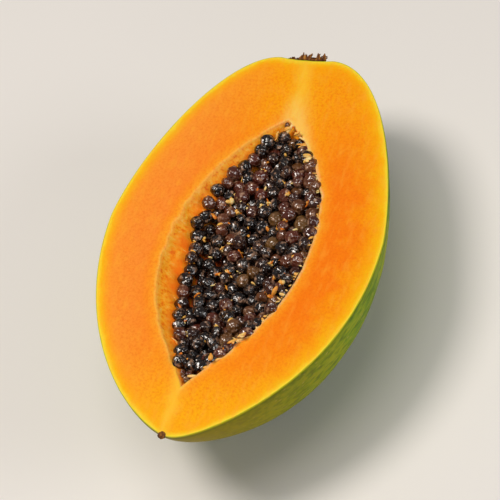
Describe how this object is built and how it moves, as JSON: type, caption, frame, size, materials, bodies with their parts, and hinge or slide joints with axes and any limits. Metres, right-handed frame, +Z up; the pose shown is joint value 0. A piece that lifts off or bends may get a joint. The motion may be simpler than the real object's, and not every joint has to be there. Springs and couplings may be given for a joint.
{
  "type": "papaya half",
  "caption": "Ripe papaya cut lengthwise, lying on its green skin with the orange cut face and the seed-filled cavity upwards.",
  "frame": {"origin": "on the resting surface, in the middle of the half's bounding box seen from above", "axes": "+X from the blossom tip to the stem end, +Z up out of the cut face"},
  "size_m": [0.1842, 0.1066, 0.0548],
  "materials": {
    "flesh": "moist orange flesh with a yellow band under a thin, slightly glossy green skin",
    "seeds": "wet, glossy, nearly black seeds in clear jelly coats",
    "dry_stem": "dry, fibrous and matt",
    "dry_scar": "dry, corky and matt"
  },
  "bodies": {
    "root": {"fruit_half": "flesh", "seeds": "seeds", "stem_stub": "dry_stem", "blossom_scar": "dry_scar"}
  },
  "joints": []
}
